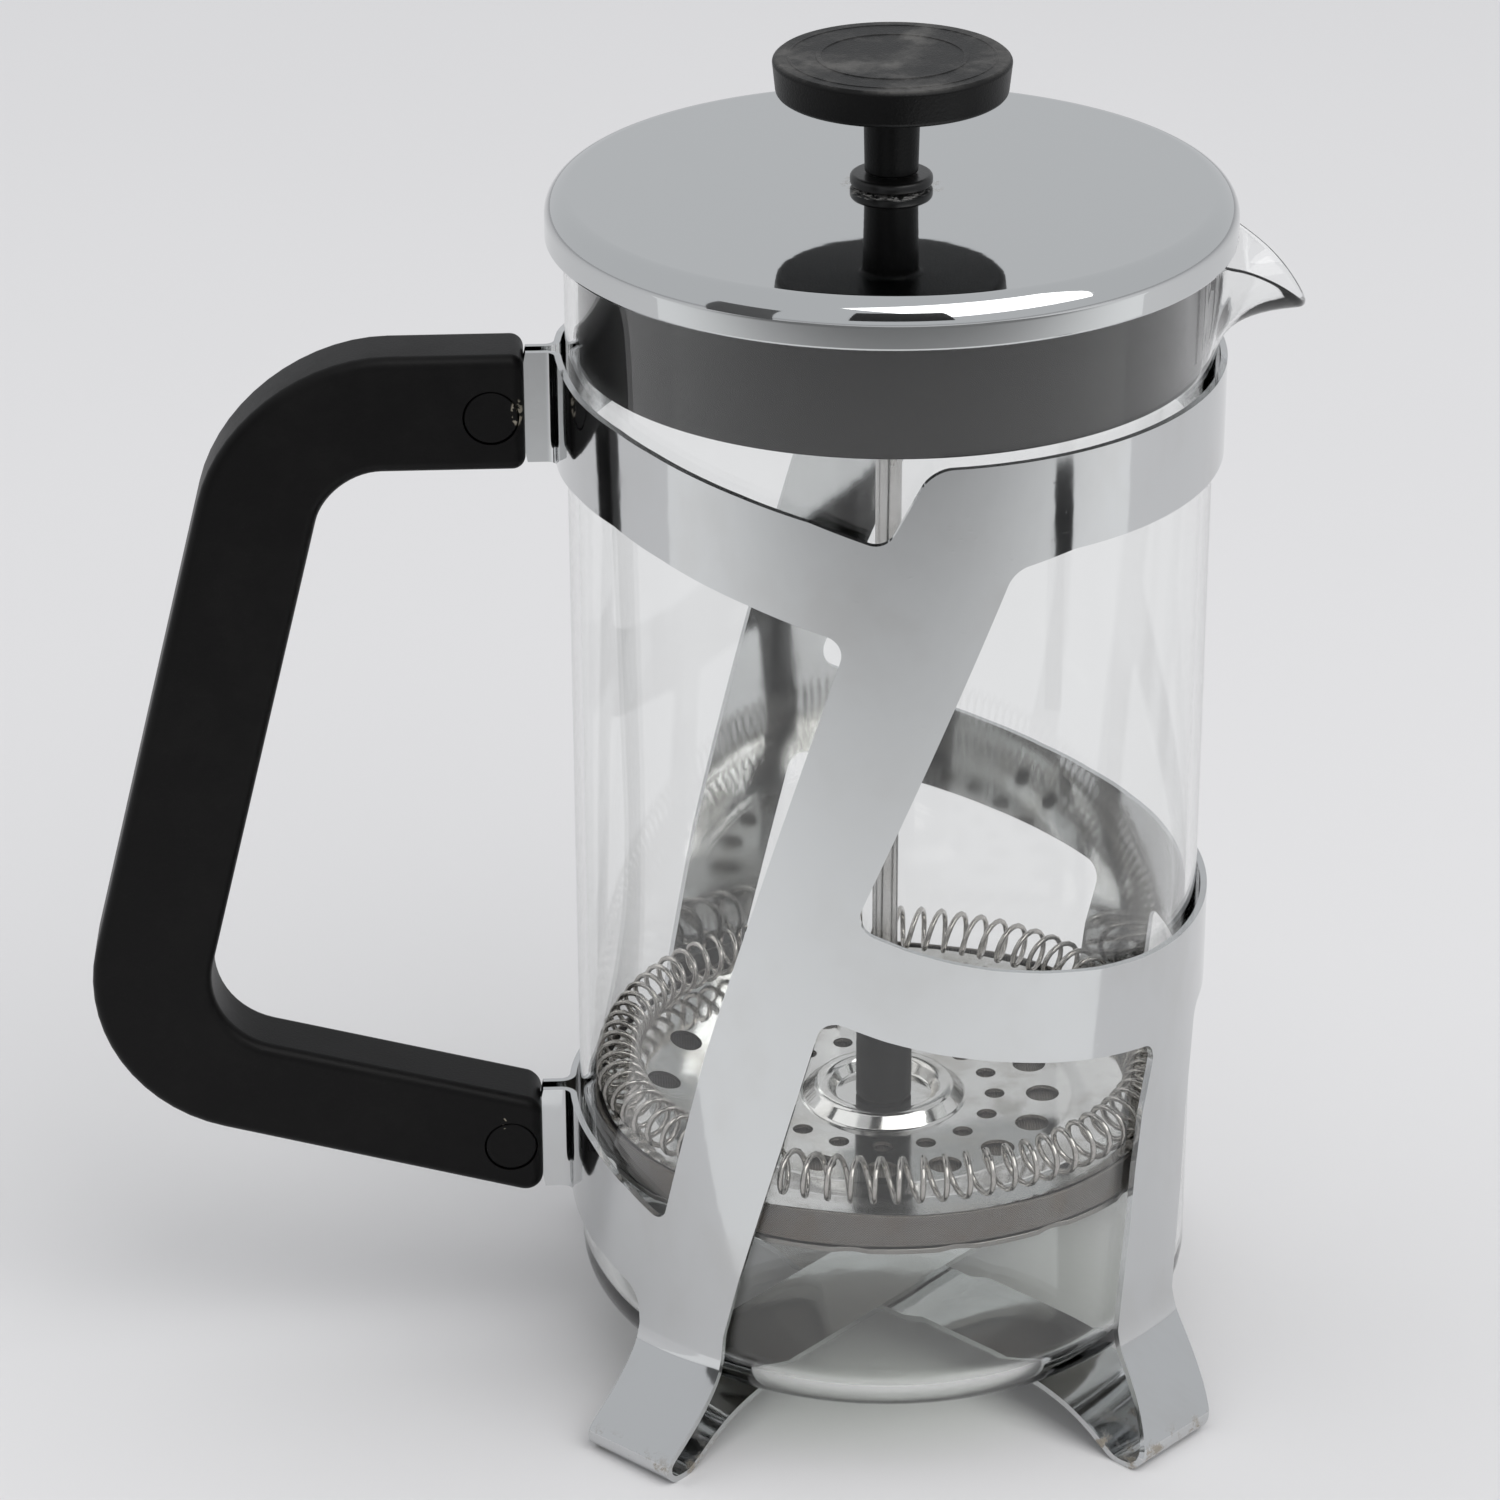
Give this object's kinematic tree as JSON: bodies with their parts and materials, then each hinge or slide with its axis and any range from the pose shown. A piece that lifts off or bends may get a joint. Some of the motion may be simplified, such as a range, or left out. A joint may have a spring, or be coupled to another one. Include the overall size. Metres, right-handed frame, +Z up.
{
  "type": "french press",
  "caption": "Glass beaker in a chromed strap stand with a black C handle, flat chrome lid and a plunger with coil-edged mesh filter.",
  "frame": {"origin": "middle of the overall footprint box, on the table the feet stand on", "axes": "+Z up along the beaker axis, +X toward the spout, -X toward the handle, -Y toward the side seen first"},
  "size_m": [0.1854, 0.102, 0.2124],
  "materials": {
    "stand_chrome": "polished",
    "lid_chrome": "polished",
    "steel": "satin",
    "mesh_steel": "woven",
    "black_plastic": "satin",
    "dark_plastic": "satin",
    "glass": "clear"
  },
  "bodies": {
    "stand": {"stand_front": "stand_chrome", "stand_back": "stand_chrome", "foot_strap_over": "stand_chrome", "foot_strap_under": "stand_chrome", "handle": "black_plastic", "handle_screw_upper": "steel", "handle_screw_lower": "steel", "handle_nut_upper": "steel", "handle_nut_lower": "steel", "plug_upper_front": "black_plastic", "plug_upper_back": "black_plastic", "plug_lower_front": "black_plastic", "plug_lower_back": "black_plastic"},
    "beaker": {"beaker": "glass"},
    "lid_bush": {"lid_bush": "black_plastic", "bush_nut": "black_plastic"},
    "lid": {"lid_cover": "lid_chrome", "lid_strainer": "dark_plastic"},
    "plunger": {"plunger_rod": "steel", "rod_sleeve": "black_plastic"},
    "filter": {"spring_plate": "steel", "coil_spring": "steel", "filter_mesh": "mesh_steel", "cross_plate": "steel", "hub_nut": "steel"},
    "knob": {"knob": "black_plastic"}
  },
  "joints": [
    {"name": "beaker_lift", "type": "slide", "parent": "stand", "child": "beaker", "axis": [0, 0, 1], "range_m": [0, 0.17]},
    {"name": "lid_lift", "type": "slide", "parent": "beaker", "child": "lid_bush", "axis": [0, 0, 1], "range_m": [0, 0.16]},
    {"name": "lid_turn", "type": "hinge", "parent": "lid_bush", "child": "lid", "pos_m": [0.03115, 0, 0.19], "axis": [0, 0, 1], "continuous": true},
    {"name": "plunger_press", "type": "slide", "parent": "lid_bush", "child": "plunger", "axis": [0, 0, 1], "range_m": [0, 0.112]},
    {"name": "knob_turn", "type": "hinge", "parent": "plunger", "child": "knob", "pos_m": [0.03115, 0, 0.205], "axis": [0, 0, 1], "continuous": true},
    {"name": "filter_turn", "type": "hinge", "parent": "plunger", "child": "filter", "pos_m": [0.03115, 0, 0.04], "axis": [0, 0, 1], "continuous": true}
  ]
}
